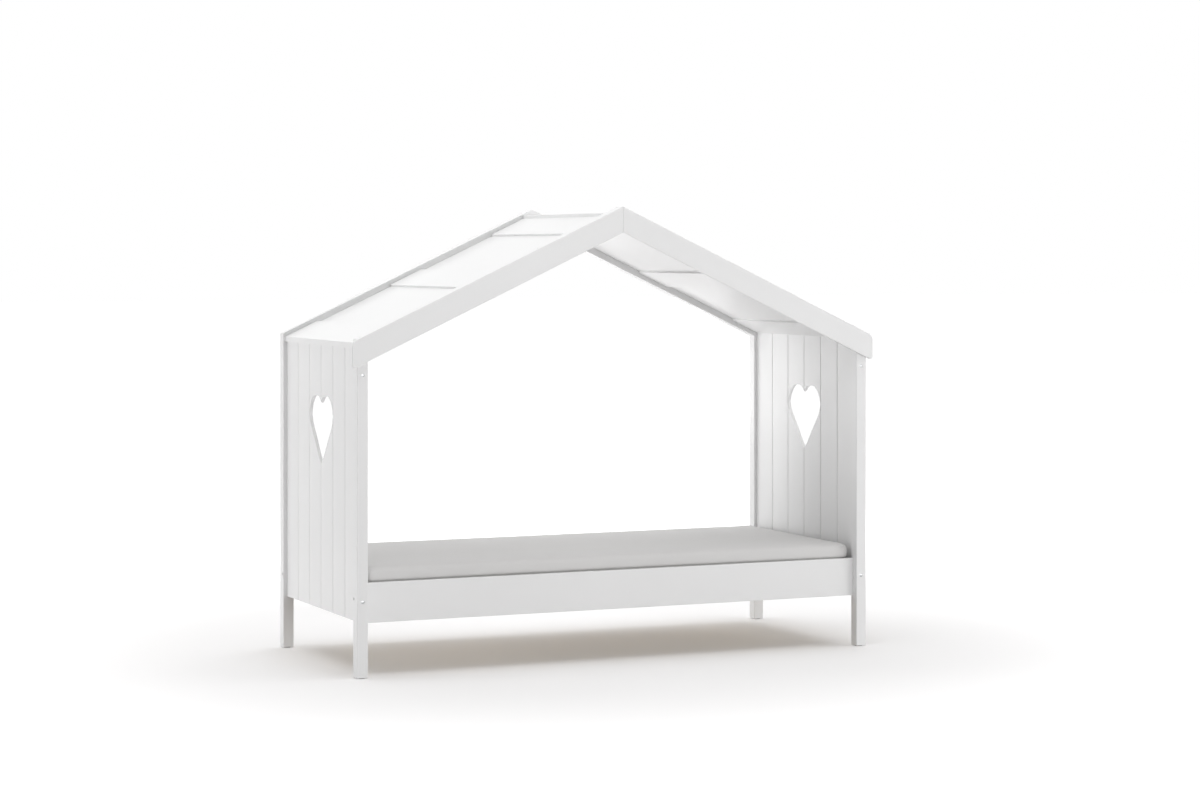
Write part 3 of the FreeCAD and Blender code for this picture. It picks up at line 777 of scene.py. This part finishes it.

# %% [markdown]
# ## Floor and light
#
# The bed stands in a white studio. A floor that is lit to white would also blow out the bed, so the
# light stays at a plain level and the floor adds a little white of its own for the camera only. Far
# from the bed it adds much, and where no shadow falls the floor reaches pure white. Near the bed it
# adds much less, which paints a grey zone of shade round the bed, and the bed's real shadow stays
# on it. The world is white to the camera and to reflections, and much dimmer as a lamp. A broad
# soft lamp hangs above, where the roof is brightest. Two more stand in front, one straight on and a
# stronger one to the right, and a weak one is high up on the right. Behind the open back a lit
# wall, a patch of lit floor and two small lamps light the roof's underside and the mattress, which
# is brightest along its rear edge. A narrow lamp at the rear left reaches past the left end and
# lights the rear half of the right end from inside, so that its boards go from white at the back to
# grey at the front.

# %% Floor
# The camera glow is weaker near the bed, which paints a grey zone of shade round it.
GLOW_NEAR, GLOW_FAR = 0.155, 0.90     # white added for the camera, near the bed and far from it
GLOW_FROM, GLOW_TO = 1.2, 4.5         # metres from the bed's middle
FLOOR_SIZE = 160
bpy.ops.object.select_all(action="DESELECT")
bpy.ops.mesh.primitive_plane_add(size=FLOOR_SIZE, location=(0, 0, 0))
floor = bpy.context.object
floor.name = "studio_floor"
floor_white, tree = empty_material("white_studio_floor_glow_and_painted_shade")
ray = add(tree, "ShaderNodeLightPath")
matt = add(tree, "ShaderNodeBsdfDiffuse", inputs={"Color": linear("#F1F0F0")})
reach = add(tree, "ShaderNodeVectorMath", {"operation": "LENGTH"},
            {0: add(tree, "ShaderNodeTexCoord").outputs["Object"]})
# Less glow near the bed paints shade round it, and far off the floor glows to white.
amount = add(tree, "ShaderNodeMapRange", {"interpolation_type": "SMOOTHSTEP"},
             {"Value": reach.outputs["Value"], "From Min": GLOW_FROM, "From Max": GLOW_TO,
              "To Min": GLOW_NEAR, "To Max": GLOW_FAR})
lift = add(tree, "ShaderNodeMath", {"operation": "MULTIPLY"},
           {0: ray.outputs["Is Camera Ray"], 1: amount.outputs["Result"]})
glow = add(tree, "ShaderNodeEmission", inputs={"Color": (1, 1, 1, 1), "Strength": lift.outputs[0]})
finish_material(tree, add(tree, "ShaderNodeAddShader",
                          inputs={0: matt.outputs[0], 1: glow.outputs[0]}))
floor.data.materials.append(floor_white)

# %% World
WORLD_LIGHT = 0.20        # the world's strength as a lamp, where 1 is white
world = bpy.data.worlds.new("white_studio")
bpy.context.scene.world = world
world.use_nodes = True
tree = world.node_tree
tree.nodes.clear()
ray = add(tree, "ShaderNodeLightPath")
seen = add(tree, "ShaderNodeMath", {"operation": "MAXIMUM"},
           {0: ray.outputs["Is Camera Ray"], 1: ray.outputs["Is Glossy Ray"]})
seen_too = add(tree, "ShaderNodeMath", {"operation": "MAXIMUM"},
               {0: seen.outputs[0], 1: ray.outputs["Is Transmission Ray"]})
strength = add(tree, "ShaderNodeMapRange", inputs={"Value": seen_too.outputs[0],
                                                   "To Min": WORLD_LIGHT, "To Max": 1.0})
sky = add(tree, "ShaderNodeBackground", inputs={"Color": (1, 1, 1, 1),
                                                "Strength": strength.outputs["Result"]})
add(tree, "ShaderNodeOutputWorld", inputs={"Surface": sky.outputs[0]})

# %% Lamps
def soft_lamp(name, place, aim, size, watts):
    """A broad lamp, unseen itself, that looks at a point. size is (width, height) in metres."""
    data = bpy.data.lights.new(name, "AREA")
    data.shape, data.energy = "RECTANGLE", watts
    data.size, data.size_y = size
    lamp = bpy.data.objects.new(name, data)
    lamp.visible_camera = False
    lamp.location = place
    lamp.rotation_euler = (Vector(aim) - Vector(place)).to_track_quat("-Z", "Y").to_euler()
    bpy.context.collection.objects.link(lamp)


soft_lamp("ceiling", (0.0, 0.0, 6.0), (0, 0.001, 0.0), (9.0, 9.0), 350)
soft_lamp("front", (1.8, -9.5, 1.6), (0, 0, 0.8), (3.6, 2.6), 128)
soft_lamp("front_right", (9.2, -9.4, 1.7), (0, 0, 0.8), (5.0, 2.9), 310)
soft_lamp("right", (6.0, -2.0, 4.0), (0, 0, 0.8), (3.0, 3.0), 34)
soft_lamp("left_behind", (-6.5, 1.7, 1.0), (0, 0.4, 0.8), (1.0, 1.6), 108)
soft_lamp("white_wall", (0.0, 4.5, 1.6), (0, 0, 1.6), (10.0, 3.0), 41)
soft_lamp("lit_floor", (0.0, 2.3, 0.02), (0.0, 2.3001, 2.0), (5.0, 3.0), 12)
soft_lamp("near_behind", (0.2, 1.7, 0.9), (0.3, 0, 1.0), (1.0, 0.8), 2.0)
soft_lamp("near_behind_wide", (0.1, 1.2, 0.95), (0.1, 0.0, 0.3), (1.9, 0.4), 2.4)
bpy.context.scene.view_settings.view_transform = "Standard"
